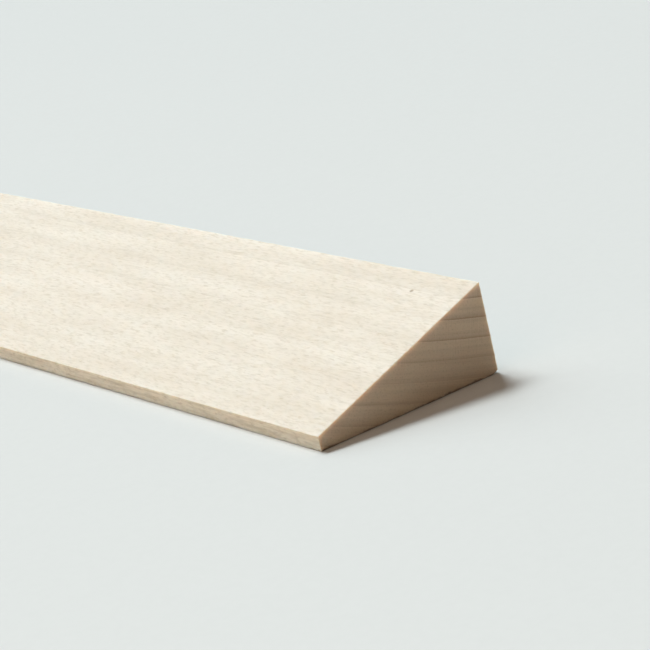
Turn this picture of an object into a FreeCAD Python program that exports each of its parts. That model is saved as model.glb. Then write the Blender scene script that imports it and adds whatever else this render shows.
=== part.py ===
"""Tapered strip of balsa wood: one solid piece with a wedge-shaped section.

Frame, in millimetres: the strip lies on its flat base, with the origin at the centre
of that base. +X runs across the width, from the thin edge to the thick edge. +Y runs
along the length, with the grain. +Z is up, out of the base.

The section is a trapezoid with two vertical edges. Its base is flat, and its top face
slopes up from the thin edge to the thick edge. The long corners are slightly worn,
and the two sawn ends have a fine broken edge all round.
"""
import FreeCAD, Part
import math
import os

import Sketcher

# Driving dimensions: alias, value, what it is.
DIMENSIONS = [
    ("strip_width", 25.0, "width across the grain, thin edge to thick edge"),
    ("strip_length", 300.0, "length along the grain, sawn end to sawn end"),
    ("thick_edge", 11.0, "height of the thick edge"),
    ("thin_edge", 1.8, "height of the thin edge"),
    ("corner_radius", 0.06, "wear on the four long corners"),
    ("end_break", 0.06, "broken edge round each sawn end"),
]

START, END = 1, 2          # the two ends of a sketch line, as Sketcher numbers them
ORIGIN_GEOMETRY = -1       # the sketch's own origin point, as Sketcher numbers it
TOLERANCE = 1e-6
LARGEST_WEAR_SHARE = 0.001  # share of the volume that the worn corners may take
MM3_IN_CM3 = 1000


def make_sheet(doc):
    """Spreadsheet with one row for each driving dimension."""
    sheet = doc.addObject("Spreadsheet::Sheet", "Dimensions")
    for row, (alias, value, meaning) in enumerate(DIMENSIONS, start=1):
        sheet.set(f"A{row}", meaning)
        sheet.set(f"B{row}", str(value))
        sheet.setAlias(f"B{row}", alias)
    doc.recompute()
    return sheet


def origin_plane(body, role):
    """The body's own origin plane with this role, such as XZ_Plane."""
    for feature in body.Origin.OriginFeatures:
        if feature.Role == role:
            return feature
    raise RuntimeError(f"{body.Label} has no {role}")


def draw_section(body, sheet):
    """Trapezoid section on the XZ plane, its base centred on the origin."""
    half_width = sheet.strip_width / 2
    thin_bottom = FreeCAD.Vector(-half_width, 0, 0)
    thick_bottom = FreeCAD.Vector(half_width, 0, 0)
    thick_top = FreeCAD.Vector(half_width, sheet.thick_edge, 0)
    thin_top = FreeCAD.Vector(-half_width, sheet.thin_edge, 0)

    sketch = body.newObject("Sketcher::SketchObject", "Section")
    sketch.AttachmentSupport = [(origin_plane(body, "XZ_Plane"), "")]
    sketch.MapMode = "FlatFace"

    outline = [thin_bottom, thick_bottom, thick_top, thin_top]
    base, thick, top, thin = (
        sketch.addGeometry(Part.LineSegment(start, end), False)
        for start, end in zip(outline, outline[1:] + outline[:1])
    )
    for line, following in ((base, thick), (thick, top), (top, thin), (thin, base)):
        sketch.addConstraint(Sketcher.Constraint("Coincident", line, END, following, START))
    sketch.addConstraint(Sketcher.Constraint("Vertical", thick))
    sketch.addConstraint(Sketcher.Constraint("Vertical", thin))
    sketch.addConstraint(
        Sketcher.Constraint("Symmetric", base, START, base, END, ORIGIN_GEOMETRY, START)
    )
    sketch.addConstraint(Sketcher.Constraint("Horizontal", base))
    for line, alias in ((base, "strip_width"), (thick, "thick_edge"), (thin, "thin_edge")):
        index = sketch.addConstraint(Sketcher.Constraint("Distance", line, sheet.get(alias)))
        sketch.setExpression(f"Constraints[{index}]", f"Dimensions.{alias}")
    return sketch


def long_corners(shape):
    """Names of the straight edges that run the whole length of the strip."""
    names = []
    for number, edge in enumerate(shape.Edges, start=1):
        along = edge.tangentAt(edge.FirstParameter)
        if abs(abs(along.y) - 1) < TOLERANCE:
            names.append(f"Edge{number}")
    return names


def end_outlines(shape, half_length):
    """Names of the edges that lie in the plane of either sawn end."""
    names = []
    for number, edge in enumerate(shape.Edges, start=1):
        box = edge.BoundBox
        flat = box.YLength < TOLERANCE
        if flat and abs(abs(box.Center.y) - half_length) < TOLERANCE:
            names.append(f"Edge{number}")
    return names


def make_strip(doc, sheet):
    """The whole piece: padded section, worn long corners, broken end edges."""
    body = doc.addObject("PartDesign::Body", "tapered_strip")
    body.Label = "tapered_strip"
    section = draw_section(body, sheet)

    pad = body.newObject("PartDesign::Pad", "Length")
    pad.Profile = section
    pad.setExpression("Length", "Dimensions.strip_length")
    pad.Midplane = True
    section.Visibility = False
    doc.recompute()

    wear = body.newObject("PartDesign::Fillet", "WornCorners")
    wear.Base = (pad, long_corners(pad.Shape))
    wear.setExpression("Radius", "Dimensions.corner_radius")
    doc.recompute()

    broken = body.newObject("PartDesign::Chamfer", "BrokenEnds")
    broken.Base = (wear, end_outlines(wear.Shape, sheet.strip_length / 2))
    broken.setExpression("Size", "Dimensions.end_break")
    body.Tip = broken
    doc.recompute()
    return body


def check(doc, body, sheet):
    """Stop if an object failed, or if the solid is not the trapezoid bar it should be."""
    for item in doc.Objects:
        if {"Invalid", "Error"} & set(item.State):
            raise RuntimeError(f"{item.Label} failed: {item.State}")
    shape = body.Shape
    if shape.isNull() or not shape.isValid() or len(shape.Solids) != 1:
        raise RuntimeError(f"{body.Label} is not one valid solid")

    mean_height = (sheet.thick_edge + sheet.thin_edge) / 2
    sharp_volume = sheet.strip_width * mean_height * sheet.strip_length
    lost_share = 1 - shape.Volume / sharp_volume
    if not 0 < lost_share < LARGEST_WEAR_SHARE:
        raise RuntimeError(f"corner wear takes {lost_share:.2%} of the volume")

    slope = math.degrees(math.atan2(sheet.thick_edge - sheet.thin_edge, sheet.strip_width))
    print(f"{body.Label}: volume {shape.Volume / MM3_IN_CM3:.2f} cm3, top slope {slope:.2f} degrees")


def main():
    doc = FreeCAD.newDocument("TaperedStrip")
    sheet = make_sheet(doc)
    strip = make_strip(doc, sheet)
    check(doc, strip, sheet)
    os.makedirs("parts", exist_ok=True)
    strip.Shape.exportStep(f"parts/{strip.Label}.step")


main()
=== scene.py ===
"""Looks of the tapered balsa strip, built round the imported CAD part.

The strip is one piece of wood, so it is one closed mesh. Its faces carry the relief that
planed balsa has: soft ridges along the grain, ray flecks as short grooves, saw marks and
growth rings on the sawn ends, and slightly torn corners. The relief only cuts inwards,
so the mesh never leaves the CAD part's box. Places are in metres in the CAD frame: +X from
the thin edge to the thick edge, +Y along the grain, +Z up from the base. Inside the
materials, noise cells and the sizes whose names end in _MM are in millimetres.
"""
import math
from types import SimpleNamespace

import bpy
import numpy as np
from mathutils import Matrix, Vector
from mathutils.geometry import delaunay_2d_cdt


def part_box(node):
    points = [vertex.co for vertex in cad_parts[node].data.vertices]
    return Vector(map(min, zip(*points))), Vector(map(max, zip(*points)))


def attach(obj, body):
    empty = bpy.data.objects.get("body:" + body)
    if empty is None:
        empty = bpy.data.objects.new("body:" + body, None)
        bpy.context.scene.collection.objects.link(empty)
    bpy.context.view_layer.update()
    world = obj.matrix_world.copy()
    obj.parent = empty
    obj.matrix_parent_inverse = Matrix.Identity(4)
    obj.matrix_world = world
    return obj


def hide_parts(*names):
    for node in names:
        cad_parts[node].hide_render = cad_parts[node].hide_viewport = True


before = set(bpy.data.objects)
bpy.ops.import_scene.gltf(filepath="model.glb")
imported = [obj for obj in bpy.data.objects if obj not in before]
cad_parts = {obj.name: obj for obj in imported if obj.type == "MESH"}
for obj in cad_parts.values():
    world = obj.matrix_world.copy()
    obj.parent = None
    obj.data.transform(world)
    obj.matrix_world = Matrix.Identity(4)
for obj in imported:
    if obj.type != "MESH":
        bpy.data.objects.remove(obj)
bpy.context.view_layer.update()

MM = 0.001
NODE = "tapered_strip"
LOW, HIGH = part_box(NODE)
NEAR_Y, FAR_Y = LOW.y, HIGH.y

# Section of the strip, as the CAD part has it.
THIN_EDGE = 1.8 * MM
THICK_EDGE = 11.0 * MM
TOP_SLOPE = (THICK_EDGE - THIN_EDGE) / (HIGH.x - LOW.x)
CORNER_RADIUS = 0.06 * MM
END_ROUND = 0.03 * MM
RELIEF_ROOM = 0.4 * MM  # how far inside a corner its relief points to

# Growth rings: circles round the pith of the tree, whose line runs along the grain.
PITH_X = 56.5 * MM
PITH_Z = 171.5 * MM
FIRST_RING = 168.2 * MM
RING_SPACING = 2.3 * MM
SOFT_RING, HARD_RING = 5, 13  # powers of the ring's phase: how late its dark line comes up

# Mesh density. The strip stays under 200,000 triangles.
COLUMNS = {"base": 28, "thick": 36, "top": 132, "thin": 6}
CORNER_STEPS = 3
END_ROUND_STEPS = 3
FINE_STEP = 0.34 * MM
COARSE_STEP = 0.80 * MM
NEAR_GRADING = 60 * MM
FAR_GRADING = 10 * MM
END_GRID = 0.25 * MM
END_MARGIN = 1.6 * END_GRID  # gap between a sawn end's outline and its inner points

# Relief of the long faces: depths, and the cells of each random field, across and along.
RIDGE_DEPTH, RIDGE_CELL = 0.014 * MM, (0.9 * MM, 22 * MM)
FIBRE_DEPTH, FIBRE_CELL = 0.010 * MM, (0.4 * MM, 7 * MM)
CORNER_WEAR, DENT_CELL = 0.04 * MM, (0.5 * MM, 1.6 * MM)
TORN_EDGE, FRAY_CELL = 0.03 * MM, (0.35 * MM, 150 * MM)
FRAY_LENGTH = 0.5 * MM
RING_DEPTH = 0.012 * MM
CHIP_DEPTH = 0.28 * MM
CHIP_LENGTH = 0.9 * MM

# Relief of the sawn ends.
END_RING_DEPTH = 0.035 * MM
SAW_MARK_DEPTH, SAW_PITCH, SAW_LEAN = 0.014 * MM, 0.55 * MM, 0.18
SAW_WANDER_CELL = 2.5 * MM
END_TEXTURE_DEPTH, END_TEXTURE_CELL = 0.020 * MM, 0.45 * MM
END_RELIEF_FADE = 1.0 * MM  # how far back from an end the long faces' mesh follows it

# Ray flecks: short grooves where the wood's rays meet a face.
FLECKS_PER_MM2 = 0.55
FLECK_THICKNESS = 0.11 * MM
FLECK_LENGTHS = (0.7 * MM, 2.2 * MM)
FLECK_STRENGTHS = (0.25, 1.0)
FLECK_DEPTH = 0.030 * MM
LEAST_ACROSS_GRAIN = 0.3  # keeps a fleck's width bounded on a face that runs with the rays

RANDOM_SEED = 17
NEAR_END_SEED, FAR_END_SEED = 1, 2

# Ring lines in the wood's colour: how far they wander, and the radii over which they fade.
RING_WOBBLE_MM = 0.4
RINGS_FADE_MM = (170.5, 176.0)
FAINTEST_RING = 0.4

# Painted light: pale, warm glow painted on a sawn end at its arrises, where light soaks into the
# wood: width, and strength there.
TOP_PAINTED_GLOW_MM, TOP_PAINTED_GLOW_STRENGTH = 0.38, 0.66
SIDE_PAINTED_GLOW_MM, SIDE_PAINTED_GLOW_STRENGTH = 0.12, 0.60

# Painted shade: dark contact-shadow line painted at a sawn end's foot: heights where it starts and
# is full, and its wandering.
CONTACT_SHADOW_MM, CONTACT_SHADOW_STRENGTH = (0.19, -0.06), 0.8
CONTACT_SHADOW_WANDER_MM, CONTACT_SHADOW_WANDER_MIDDLE = 0.7, 0.40

# Natural marks on the sloping top, a pin speck and a faint stain: place across the strip,
# distance from the near end, half size along each axis, and strength.
MARK_COLOUR = (0.30, 0.22, 0.13, 1)
FACE_MARKS = (
    (9.4 * MM, 9.4 * MM, (0.32 * MM, 0.42 * MM, 0.32 * MM), 0.75),
    (2.4 * MM, 18.0 * MM, (0.9 * MM, 2.0 * MM, 0.9 * MM), 0.11),
)

BUMP_DEPTH = 0.05 * MM
FLOOR_HALF_SIZE = 3.0
FLOOR_GAP = 0.02 * MM


# ---------------------------------------------------------------- section outline

def sharp_section():
    """Corners of the sharp section as (x, z), and the outward normal of each face.

    Both are in the order base, thick, top, thin: each face starts at its own corner.
    """
    corners = np.array([
        (LOW.x, 0.0),
        (HIGH.x, 0.0),
        (HIGH.x, THICK_EDGE),
        (LOW.x, THIN_EDGE),
    ])
    along = np.roll(corners, -1, axis=0) - corners
    along /= np.linalg.norm(along, axis=1, keepdims=True)
    outward = np.stack([along[:, 1], -along[:, 0]], axis=1)
    return corners, outward


def section_outline():
    """Points round the section, and the direction in which relief cuts into each.

    The corners are arcs. Relief cuts a face straight in, and cuts a corner towards a
    point that lies RELIEF_ROOM inside both of its faces, so it never crosses itself.
    """
    corners, outward = sharp_section()
    before = np.roll(outward, 1, axis=0)
    bisector = (outward + before) / (1 + np.sum(outward * before, axis=1, keepdims=True))
    arc_centres = corners - CORNER_RADIUS * bisector
    targets = corners - RELIEF_ROOM * bisector

    surface, inward = [], []
    for i, columns in enumerate(COLUMNS.values()):
        turn_from = math.atan2(before[i, 1], before[i, 0])
        turn = (math.atan2(outward[i, 1], outward[i, 0]) - turn_from) % math.tau
        for step in range(CORNER_STEPS + 1):
            angle = turn_from + turn * step / CORNER_STEPS
            point = arc_centres[i] + CORNER_RADIUS * np.array([math.cos(angle), math.sin(angle)])
            surface.append(point)
            inward.append((targets[i] - point) / np.linalg.norm(targets[i] - point))
        start = arc_centres[i] + CORNER_RADIUS * outward[i]
        end = arc_centres[(i + 1) % len(corners)] + CORNER_RADIUS * outward[i]
        for step in range(1, columns):
            surface.append(start + (end - start) * step / columns)
            inward.append(-outward[i])
    return np.array(surface), np.array(inward)


# ---------------------------------------------------------------- relief

def smooth(t):
    """Smooth step from 0 to 1."""
    t = np.clip(t, 0.0, 1.0)
    return t * t * (3 - 2 * t)


def lattice_noise(u, v, rng):
    """Smooth random field from 0 to 1, one random value for each unit cell corner."""
    u, v = u - u.min(), v - v.min()
    table = rng.random((int(u.max()) + 2, int(v.max()) + 2))
    i, j = u.astype(int), v.astype(int)
    a, b = smooth(u - i), smooth(v - j)
    low = table[i, j] * (1 - b) + table[i, j + 1] * b
    high = table[i + 1, j] * (1 - b) + table[i + 1, j + 1] * b
    return low * (1 - a) + high * a


def ring_hollow(x, z):
    """0 on a growth ring's hard dark line, up to 1 in its soft pale wood."""
    radius = np.hypot(PITH_X - x, PITH_Z - z)
    phase = ((radius - FIRST_RING) / RING_SPACING) % 1.0
    return 1 - phase ** SOFT_RING


def ray_flecks(around, rows, across_grain, rng):
    """Depth share from 0 to 1 of the ray grooves, over the unrolled long faces.

    around is the distance round the section of each column, rows the place along the
    grain of each station, and across_grain how squarely each column's face cuts the
    rays: a face that cuts them on the slant shows them wider.
    """
    depth = np.zeros((len(rows), len(around)))
    area_mm2 = (around[-1] - around[0]) * (rows[-1] - rows[0]) / MM**2
    for _ in range(int(area_mm2 * FLECKS_PER_MM2)):
        centre = rng.uniform(around[0], around[-1])
        place = rng.uniform(rows[0], rows[-1])
        half_length = rng.uniform(*FLECK_LENGTHS) / 2
        strength = rng.uniform(*FLECK_STRENGTHS)
        column = min(np.searchsorted(around, centre), len(around) - 1)
        half_width = FLECK_THICKNESS / across_grain[column]
        c0, c1 = np.searchsorted(around, (centre - 2 * half_width, centre + 2 * half_width))
        r0, r1 = np.searchsorted(rows, (place - half_length, place + half_length))
        across = np.exp(-((around[c0:c1] - centre) / half_width) ** 2 * 2)
        along = 1 - ((rows[r0:r1] - place) / half_length) ** 2
        groove = strength * along[:, None] * across[None, :]
        depth[r0:r1, c0:c1] = np.maximum(depth[r0:r1, c0:c1], groove)
    return depth


def end_relief(x, z, seed):
    """Depth of a sawn end's surface at (x, z): rings, saw marks and torn fibres."""
    rng = np.random.default_rng(seed)
    wander = lattice_noise(x / SAW_WANDER_CELL, z / SAW_WANDER_CELL, rng)
    saw = 0.5 + 0.5 * np.sin(math.tau * ((x + SAW_LEAN * z) / SAW_PITCH + wander))
    fibres = lattice_noise(x / END_TEXTURE_CELL, z / END_TEXTURE_CELL, rng)
    return (
        END_RING_DEPTH * ring_hollow(x, z)
        + SAW_MARK_DEPTH * saw
        + END_TEXTURE_DEPTH * fibres
    )


# ---------------------------------------------------------------- mesh

def stations():
    """Places along the grain of the mesh's rings: close together near the ends."""
    straight_from, straight_to = NEAR_Y + END_ROUND, FAR_Y - END_ROUND
    places = [straight_from]
    while places[-1] < straight_to:
        near = min((places[-1] - NEAR_Y) / NEAR_GRADING, 1.0)
        far = min((FAR_Y - places[-1]) / FAR_GRADING, 1.0)
        places.append(places[-1] + FINE_STEP + (COARSE_STEP - FINE_STEP) * min(near, far))
    places = np.array(places)
    share = (places - places[0]) / (places[-1] - places[0])
    return straight_from + (straight_to - straight_from) * share


def rounded_ends(straight):
    """Stations with the ends' rounding added, and how far each is drawn in by it."""
    angles = np.arange(END_ROUND_STEPS, 0, -1) * math.pi / 2 / END_ROUND_STEPS
    back = END_ROUND * (1 - np.sin(angles))
    drawn = END_ROUND * (1 - np.cos(angles))
    rows = np.concatenate([NEAR_Y + back, straight, FAR_Y - back[::-1]])
    inset = np.concatenate([drawn, np.zeros(len(straight)), drawn[::-1]])
    return rows, inset


def long_faces(rng):
    """Vertices of the long faces, one ring for each station, and their fleck depths."""
    surface, inward = section_outline()
    rows, inset = rounded_ends(stations())
    steps = np.linalg.norm(np.diff(surface, axis=0), axis=1)
    around = np.concatenate([[0.0], np.cumsum(steps)])
    grid_row, grid_around = np.meshgrid(rows, around, indexing="ij")

    def field(cell):
        return lattice_noise(grid_around / cell[0], grid_row / cell[1], rng)

    to_pith = np.array([PITH_X, PITH_Z]) - surface
    to_pith /= np.linalg.norm(to_pith, axis=1, keepdims=True)
    across_grain = np.abs(np.sum(inward * to_pith, axis=1))
    flecks = ray_flecks(around, rows, np.clip(across_grain, LEAST_ACROSS_GRAIN, 1.0), rng)

    ridges = field(RIDGE_CELL)
    fibres = field(FIBRE_CELL)
    rings = np.broadcast_to(ring_hollow(surface[:, 0], surface[:, 1]), grid_row.shape)

    face_ends = np.cumsum([CORNER_STEPS + columns for columns in COLUMNS.values()])
    at_corner = np.zeros(len(surface))
    for start in np.concatenate([[0], face_ends[:-1]]):
        at_corner[start:start + CORNER_STEPS + 1] = 1.0
    dents = field(DENT_CELL) ** 3

    to_end = np.minimum(grid_row - NEAR_Y, FAR_Y - grid_row)
    fray = field(FRAY_CELL) ** 2 * smooth(1 - to_end / FRAY_LENGTH)

    at_chip = np.zeros(len(surface))
    thick_foot = face_ends[0]
    at_chip[thick_foot:thick_foot + CORNER_STEPS + 1] = 1.0
    chip = at_chip * smooth(1 - (grid_row - NEAR_Y) / CHIP_LENGTH)

    depth = (
        RIDGE_DEPTH * ridges
        + FIBRE_DEPTH * fibres
        + RING_DEPTH * rings
        + FLECK_DEPTH * flecks
        + CORNER_WEAR * dents * at_corner
        + TORN_EDGE * fray
        + CHIP_DEPTH * chip
        + inset[:, None]
    )
    section = surface[None] + depth[..., None] * inward[None]
    x, z = section[..., 0], section[..., 1]
    near_weight = smooth(1 - (grid_row - NEAR_Y) / END_RELIEF_FADE)
    far_weight = smooth(1 - (FAR_Y - grid_row) / END_RELIEF_FADE)
    y = grid_row + near_weight * end_relief(x, z, NEAR_END_SEED)
    y = y - far_weight * end_relief(x, z, FAR_END_SEED)
    return np.stack([x, y, z], axis=2), flecks


def end_face(ring, end_y, inward, seed):
    """Inner points of a sawn end, and its triangles as indices into ring, then inner."""
    corners, outward = sharp_section()
    x, z = np.meshgrid(
        np.arange(LOW.x, HIGH.x, END_GRID), np.arange(0, THICK_EDGE, END_GRID), indexing="ij"
    )
    grid = np.stack([x.ravel(), z.ravel()], axis=1)
    clear = np.ones(len(grid), bool)
    for corner, out in zip(corners, outward):
        clear &= (corner - grid) @ out > END_MARGIN
    inner = grid[clear]

    flat = np.concatenate([ring[:, [0, 2]], inner]) / MM
    loop = [(i, (i + 1) % len(ring)) for i in range(len(ring))]
    inside_only, merge_distance = 1, 1e-7
    vertices, _, faces, _, _, _ = delaunay_2d_cdt(
        [Vector(p) for p in flat], loop, [], inside_only, merge_distance
    )
    if len(vertices) != len(flat):
        raise RuntimeError("the sawn end's outline crosses itself")
    depth = end_relief(inner[:, 0], inner[:, 1], seed)
    points = np.stack([inner[:, 0], end_y + inward * depth, inner[:, 1]], axis=1)
    return points, np.array(faces)


def strip_mesh():
    """The whole strip as one closed mesh, with its fleck depth at each vertex."""
    rng = np.random.default_rng(RANDOM_SEED)
    points, flecks = long_faces(rng)
    index = np.arange(flecks.size).reshape(flecks.shape)
    beside = np.roll(index, -1, axis=1)
    quads = np.stack([index[:-1], index[1:], beside[1:], beside[:-1]], axis=-1).reshape(-1, 4)

    near_points, near_faces = end_face(points[0], NEAR_Y, 1, NEAR_END_SEED)
    far_points, far_faces = end_face(points[-1], FAR_Y, -1, FAR_END_SEED)
    near_start = index.size
    far_start = near_start + len(near_points)
    near_index = np.concatenate([index[0], near_start + np.arange(len(near_points))])
    far_index = np.concatenate([index[-1], far_start + np.arange(len(far_points))])

    vertices = np.concatenate([points.reshape(-1, 3), near_points, far_points])
    faces = quads.tolist() + near_index[near_faces].tolist()
    faces += far_index[far_faces][:, ::-1].tolist()
    mesh = bpy.data.meshes.new(NODE + "_wood")
    mesh.from_pydata(vertices.tolist(), [], faces)
    mesh.polygons.foreach_set("use_smooth", np.ones(len(faces), bool))
    attribute = mesh.attributes.new("fleck", "FLOAT", "POINT")
    no_flecks = np.zeros(len(near_points) + len(far_points))
    attribute.data.foreach_set("value", np.concatenate([flecks.ravel(), no_flecks]))
    mesh.validate()
    mesh.update()
    return mesh


# ---------------------------------------------------------------- materials

class Graph:
    """Short forms for building a material's node tree."""

    def __init__(self, material):
        material.use_nodes = True
        self.tree = material.node_tree
        self.tree.nodes.clear()

    def add(self, kind, inputs=None, **settings):
        """New node with its settings, and its inputs given as values or sockets."""
        node = self.tree.nodes.new(kind)
        for name, value in settings.items():
            setattr(node, name, value)
        for key, value in (inputs or {}).items():
            self.feed(node.inputs[key], value)
        return node

    def feed(self, socket, value):
        """Sets a socket to a value, or links another socket to it."""
        if isinstance(value, bpy.types.NodeSocket):
            self.tree.links.new(value, socket)
        else:
            socket.default_value = value

    def math(self, operation, *values):
        """Result of a Math node."""
        inputs = dict(enumerate(values))
        return self.add("ShaderNodeMath", inputs, operation=operation).outputs[0]

    def vector(self, operation, *values):
        """Vector result of a Vector Math node."""
        inputs = dict(enumerate(values))
        return self.add("ShaderNodeVectorMath", inputs, operation=operation).outputs["Vector"]

    def measure(self, operation, *values):
        """Number that a Vector Math node gives, such as a length or a dot product."""
        inputs = dict(enumerate(values))
        return self.add("ShaderNodeVectorMath", inputs, operation=operation).outputs["Value"]

    def split(self, vector):
        """The X, Y and Z of a vector."""
        node = self.add("ShaderNodeSeparateXYZ", {0: vector})
        return tuple(node.outputs[axis] for axis in "XYZ")

    def place(self):
        """Place on the object, in metres."""
        return self.add("ShaderNodeTexCoord").outputs["Object"]

    def place_mm(self):
        """Place on the object, in millimetres."""
        return self.vector("MULTIPLY", self.place(), (1 / MM, 1 / MM, 1 / MM))

    def noise(self, place, size, seed, detail=2.0, roughness=0.5):
        """Noise from 0 to 1 whose cells measure size along the three axes of place."""
        scale = tuple(1 / s for s in size)
        cell = self.vector("MULTIPLY_ADD", place, scale, (seed * 7.3, seed * 3.1, seed * 5.7))
        inputs = {"Vector": cell, "Scale": 1.0, "Detail": detail, "Roughness": roughness}
        return self.add("ShaderNodeTexNoise", inputs).outputs["Fac"]

    def remap(self, value, low, high, to_low=0.0, to_high=1.0):
        """Smooth step of value from the range low, high to the range to_low, to_high."""
        inputs = {
            "Value": value, "From Min": low, "From Max": high,
            "To Min": to_low, "To Max": to_high,
        }
        node = self.add("ShaderNodeMapRange", inputs, interpolation_type="SMOOTHSTEP")
        return node.outputs["Result"]

    def mix(self, share, first, second):
        """Colour mix of first and second."""
        node = self.add("ShaderNodeMix", data_type="RGBA")
        for key, value in (("Factor", share), (6, first), (7, second)):
            self.feed(node.inputs[key], value)
        return node.outputs[2]

    def surface(self, inputs):
        """Principled shader with these inputs, as the material's surface."""
        shader = self.add("ShaderNodeBsdfPrincipled", inputs)
        self.add("ShaderNodeOutputMaterial", {"Surface": shader.outputs[0]})


def facing(graph, axis, low, high):
    """Share from 0 to 1 by how squarely the surface faces either way along an axis."""
    normal = graph.add("ShaderNodeTexCoord").outputs["Normal"]
    towards = graph.split(normal)["XYZ".index(axis)]
    return graph.remap(graph.math("ABSOLUTE", towards), low, high)


def grain_place(graph):
    """Place in the tree in millimetres: round the pith, along the grain, out from it."""
    x, y, z = graph.split(graph.place_mm())
    to_pith_x = graph.math("SUBTRACT", PITH_X / MM, x)
    to_pith_z = graph.math("SUBTRACT", PITH_Z / MM, z)
    square_x = graph.math("POWER", to_pith_x, 2.0)
    square_z = graph.math("POWER", to_pith_z, 2.0)
    radius = graph.math("SQRT", graph.math("ADD", square_x, square_z))
    angle = graph.math("ARCTAN2", to_pith_x, to_pith_z)
    round_pith = graph.math("MULTIPLY", angle, FIRST_RING / MM)
    place = graph.add("ShaderNodeCombineXYZ", {0: round_pith, 1: y, 2: radius}).outputs[0]
    return place, radius


def growth_rings(graph, radius, clouds):
    """Strength from 0 to 1 of the rings' dark lines, which wander a little."""
    wobble = graph.math("MULTIPLY", graph.math("SUBTRACT", clouds, 0.5), RING_WOBBLE_MM)
    wandering = graph.math("ADD", radius, wobble)
    from_first = graph.math("SUBTRACT", wandering, FIRST_RING / MM)
    phase = graph.math("FRACT", graph.math("DIVIDE", from_first, RING_SPACING / MM))
    soft_line = graph.math("MULTIPLY", graph.math("POWER", phase, SOFT_RING), 0.5)
    hard_line = graph.math("MULTIPLY", graph.math("POWER", phase, HARD_RING), 0.5)
    strength = graph.remap(radius, *RINGS_FADE_MM, 1.0, FAINTEST_RING)
    return graph.math("MULTIPLY", graph.math("ADD", soft_line, hard_line), strength)


def wood_fields(graph):
    """What the wood's colour and finest relief are made from: fields from 0 to 1.

    The three sizes of a noise's cell are round the pith, along the grain, and out from
    the pith.
    """
    grain, radius = grain_place(graph)
    clouds = graph.noise(grain, (9.0, 30.0, 9.0), 2)
    rays = graph.noise(grain, (0.18, 1.5, 7.0), 4, detail=1.0)
    vessels = graph.noise(grain, (0.32, 9.0, 0.4), 5, detail=1.0)
    grooves = graph.add("ShaderNodeAttribute", attribute_name="fleck").outputs["Fac"]
    grooves = graph.math("MULTIPLY", grooves, 0.6)
    return SimpleNamespace(
        on_end=facing(graph, "Y", 0.35, 0.8),
        on_edge=facing(graph, "X", 0.6, 0.9),
        bands=graph.noise(grain, (2.6, 26.0, 3.0), 1, detail=3.0),
        clouds=clouds,
        fibres=graph.noise(grain, (0.20, 1.5, 0.36), 3, detail=3.0, roughness=0.6),
        rays=rays,
        vessels=vessels,
        speckle=graph.noise(grain, (0.22, 0.9, 0.22), 6),
        layers=graph.noise(grain, (30.0, 90.0, 0.55), 7, detail=3.0, roughness=0.6),
        ring_line=growth_rings(graph, radius, clouds),
        ray_mark=graph.math("MAXIMUM", graph.remap(rays, 0.58, 0.72), grooves),
        vessel_mark=graph.remap(vessels, 0.66, 0.76),
    )


def face_mark(graph, x, from_end, half_size, strength):
    """Small mark on the sloping top: strength in its middle, 0 at its outline."""
    centre = (x, NEAR_Y + from_end, THICK_EDGE - (HIGH.x - x) * TOP_SLOPE)
    offset = graph.vector("DIVIDE", graph.vector("SUBTRACT", graph.place(), centre), half_size)
    spot = graph.remap(graph.measure("LENGTH", offset), 1.0, 0.35)
    return graph.math("MULTIPLY", spot, strength)


def face_colour(graph, wood):
    """Colour of the long faces: each layer is a share and the colour that it brings."""
    streaks = graph.math("MULTIPLY", graph.remap(wood.vessels, 0.40, 0.70), wood.on_edge)
    layers = [
        (graph.remap(wood.bands, 0.3, 0.7), (0.688, 0.607, 0.508, 1)),
        # painted light: the thin and thick edge faces are painted paler than the sloping top, for
        # how light falls on them
        (wood.on_edge, (0.84, 0.755, 0.615, 1)),
        (graph.math("MULTIPLY", wood.ring_line, 0.30), (0.55, 0.48, 0.39, 1)),
        (graph.remap(wood.layers, 0.40, 0.70, 0.0, 0.12), (0.53, 0.47, 0.38, 1)),
        (graph.remap(wood.fibres, 0.42, 0.78, 0.0, 0.58), (0.56, 0.485, 0.385, 1)),
        (graph.math("MULTIPLY", wood.ray_mark, 0.33), (0.49, 0.405, 0.30, 1)),
        (graph.math("MULTIPLY", wood.vessel_mark, 0.17), (0.44, 0.36, 0.25, 1)),
        (graph.math("MULTIPLY", streaks, 0.35), (0.52, 0.43, 0.30, 1)),
    ]
    layers += [(face_mark(graph, *mark), MARK_COLOUR) for mark in FACE_MARKS]
    colour = (0.740, 0.669, 0.578, 1)
    for share, tint in layers:
        colour = graph.mix(share, colour, tint)
    return colour


def painted_glow(graph, depth, width, strength):
    """Painted glow that fades with depth, in millimetres, under an arris."""
    fading = graph.math("EXPONENT", graph.math("MULTIPLY", depth, -1 / width))
    return graph.math("MULTIPLY", fading, strength)


def painted_arris_glow(graph):
    """Painted light: pale, warm glow painted on a sawn end along its top and its two side arrises.
    """
    steepness = math.hypot(1.0, TOP_SLOPE)
    down = (TOP_SLOPE / steepness, 0.0, -1 / steepness)
    at_top = (TOP_SLOPE * HIGH.x - THICK_EDGE) / steepness / MM
    below_top = graph.math("SUBTRACT", graph.measure("DOT_PRODUCT", graph.place_mm(), down), at_top)
    x = graph.split(graph.place_mm())[0]
    from_edge = graph.math("SUBTRACT", HIGH.x / MM, graph.math("ABSOLUTE", x))
    top_glow = painted_glow(graph, below_top, TOP_PAINTED_GLOW_MM, TOP_PAINTED_GLOW_STRENGTH)
    side_glow = painted_glow(graph, from_edge, SIDE_PAINTED_GLOW_MM, SIDE_PAINTED_GLOW_STRENGTH)
    return graph.math("MAXIMUM", top_glow, side_glow)


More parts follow.
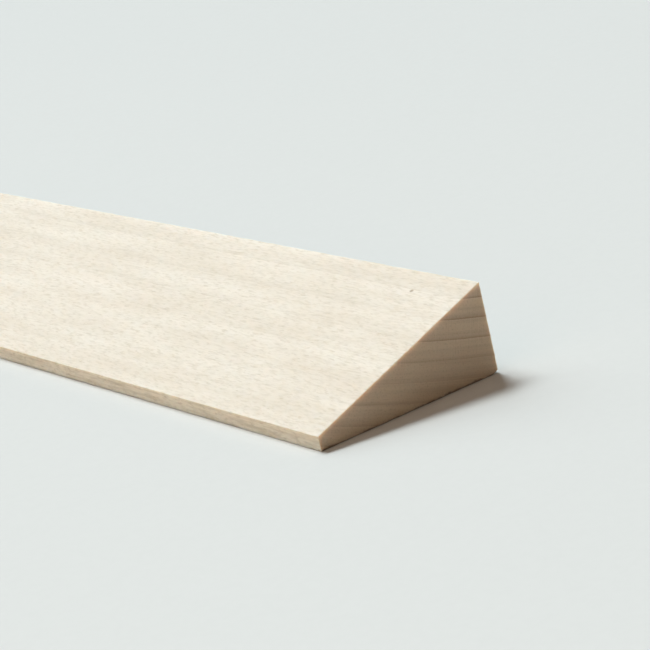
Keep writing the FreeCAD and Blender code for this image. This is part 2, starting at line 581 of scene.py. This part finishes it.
def painted_contact_shadow(graph):
    """Painted shade: uneven dark line of contact shadow painted along a sawn end's foot."""
    place = graph.place_mm()
    uneven = graph.noise(place, (1.3, 1.3, 1.3), 9, detail=3.0)
    wander = graph.math("SUBTRACT", uneven, CONTACT_SHADOW_WANDER_MIDDLE)
    reach = graph.math("MULTIPLY", wander, CONTACT_SHADOW_WANDER_MM)
    height = graph.math("SUBTRACT", graph.split(place)[2], reach)
    return graph.remap(height, *CONTACT_SHADOW_MM, 0.0, CONTACT_SHADOW_STRENGTH)


def end_colour(graph, wood):
    """Colour of the sawn ends, in layers as on the long faces."""
    layers = [
        (graph.remap(wood.clouds, 0.3, 0.7), (0.64, 0.50, 0.358, 1)),
        (graph.math("MULTIPLY", wood.ring_line, 0.95), (0.35, 0.22, 0.14, 1)),
        (graph.remap(wood.layers, 0.35, 0.7, 0.0, 0.30), (0.40, 0.30, 0.20, 1)),
        (graph.remap(wood.rays, 0.5, 0.7, 0.0, 0.08), (0.72, 0.60, 0.46, 1)),
        (graph.remap(wood.speckle, 0.5, 0.75, 0.0, 0.34), (0.36, 0.27, 0.18, 1)),
        # painted light: pale, warm glow at the arrises
        (painted_arris_glow(graph), (1.0, 0.79, 0.62, 1)),
        # painted shade: contact shadow along the foot
        (painted_contact_shadow(graph), (0.20, 0.14, 0.09, 1)),
    ]
    colour = (0.69, 0.545, 0.395, 1)
    for share, tint in layers:
        colour = graph.mix(share, colour, tint)
    return colour


def grain_height(graph, wood):
    """Height of the finest grain: fibres stand up, and rays, vessels and end pits dip."""
    height = graph.math("MULTIPLY", wood.fibres, 0.6)
    height = graph.math("MULTIPLY_ADD", wood.ray_mark, -0.6, height)
    height = graph.math("MULTIPLY_ADD", wood.vessel_mark, -0.5, height)
    pits = graph.math("MULTIPLY", wood.on_end, -1.2)
    return graph.math("MULTIPLY_ADD", wood.speckle, pits, height)


def balsa_material():
    """Bare balsa: pale long faces with fine ray flecks, and darker, warmer sawn ends."""
    material = bpy.data.materials.new("balsa")
    graph = Graph(material)
    wood = wood_fields(graph)
    bump = graph.add("ShaderNodeBump", {
        "Strength": 0.45,
        "Distance": BUMP_DEPTH,
        "Height": grain_height(graph, wood),
    })
    graph.surface({
        "Base Color": graph.mix(wood.on_end, face_colour(graph, wood), end_colour(graph, wood)),
        "Roughness": graph.remap(wood.fibres, 0.3, 0.7, 0.62, 0.78),
        "Specular IOR Level": 0.30,
        "Subsurface Weight": 1.0,
        "Subsurface Radius": (1.0, 0.78, 0.62),
        "Subsurface Scale": 0.9 * MM,
        "Normal": bump.outputs[0],
    })
    return material


def floor_material():
    """Pale matt paper with a very faint tooth."""
    material = bpy.data.materials.new("pale_paper")
    graph = Graph(material)
    tooth = graph.noise(graph.place_mm(), (1.1, 1.1, 1.1), 8, detail=3.0)
    bump = graph.add("ShaderNodeBump", {
        "Strength": 0.25,
        "Distance": BUMP_DEPTH,
        "Height": tooth,
    })
    graph.surface({
        "Base Color": graph.mix(tooth, (0.642, 0.644, 0.634, 1), (0.622, 0.624, 0.614, 1)),
        "Roughness": 0.85,
        "Specular IOR Level": 0.2,
        "Normal": bump.outputs[0],
    })
    return material


# ---------------------------------------------------------------- scene

def add_object(name, data):
    """New object in the scene."""
    item = bpy.data.objects.new(name, data)
    bpy.context.scene.collection.objects.link(item)
    return item


def make_strip():
    """The wood, in place of the plain CAD solid."""
    mesh = strip_mesh()
    mesh.materials.append(balsa_material())
    strip = add_object("balsa_strip", mesh)
    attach(strip, "root")
    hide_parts(NODE)


def make_floor():
    """Large pale sheet just under the strip."""
    corners = [(-1, -1), (1, -1), (1, 1), (-1, 1)]
    mesh = bpy.data.meshes.new("floor")
    vertices = [(x * FLOOR_HALF_SIZE, y * FLOOR_HALF_SIZE, -FLOOR_GAP) for x, y in corners]
    mesh.from_pydata(vertices, [], [(0, 1, 2, 3)])
    mesh.materials.append(floor_material())
    add_object("floor", mesh)


def make_camera():
    """Long lens on the near sawn end, turned and rolled as the strip was seen."""
    azimuth, elevation, roll = math.radians(-30.46), math.radians(16.64), math.radians(-13.32)
    aim = Vector((LOW.x + 6.53 * MM, NEAR_Y + 4.06 * MM, 11.95 * MM))
    distance = 314.4 * MM

    data = bpy.data.cameras.new("camera")
    data.sensor_width = 36.0
    data.lens = 158.0
    data.clip_start = 10 * MM
    camera = add_object("camera", data)
    turn = (
        Matrix.Rotation(azimuth, 4, "Z")
        @ Matrix.Rotation(math.pi / 2 - elevation, 4, "X")
        @ Matrix.Rotation(roll, 4, "Z")
    )
    camera.matrix_world = Matrix.Translation(aim + turn @ Vector((0, 0, distance))) @ turn
    bpy.context.scene.camera = camera


def add_light(name, kind, direction, distance, colour, energy):
    """Light that stands off from the near end in a direction and faces it."""
    away = Vector(direction).normalized()
    data = bpy.data.lights.new(name, kind)
    data.color = colour
    data.energy = energy
    light = add_object(name, data)
    light.location = Vector((0, NEAR_Y, 0)) + away * distance
    light.rotation_euler = away.to_track_quat("Z", "Y").to_euler()
    return data


def add_sun(name, direction, energy, angle):
    """Daylight from a disc that is this angle across."""
    daylight = (0.89, 0.977, 1.0)
    add_light(name, "SUN", direction, 1.0, daylight, energy).angle = angle


def add_panel(name, direction, colour, energy, size):
    """Square light panel of this size."""
    add_light(name, "AREA", direction, 1.4, colour, energy).size = size


def make_light():
    """A broad key and a low halo from behind, warm fills from both sides, a dim room."""
    add_sun("key_left", (-0.05, 0.65, 1.0), 1.4, 0.28)
    add_sun("key_right", (0.21, 0.65, 1.0), 1.4, 0.28)
    add_sun("halo", (0.08, 1.3, 1.0), 1.65, 0.8)
    add_panel("fill", (-0.78, -0.20, 0.60), (1.0, 0.74, 0.53), 6.9, 1.4)
    add_panel("side", (1.0, 0.05, 0.16), (1.0, 0.84, 0.70), 2.2, 0.8)

    world = bpy.data.worlds.new("room")
    world.use_nodes = True
    background = world.node_tree.nodes["Background"]
    background.inputs["Color"].default_value = (0.95, 0.98, 1.0, 1.0)
    background.inputs["Strength"].default_value = 0.06
    bpy.context.scene.world = world
    bpy.context.scene.view_settings.view_transform = "Standard"


make_strip()
make_floor()
make_camera()
make_light()
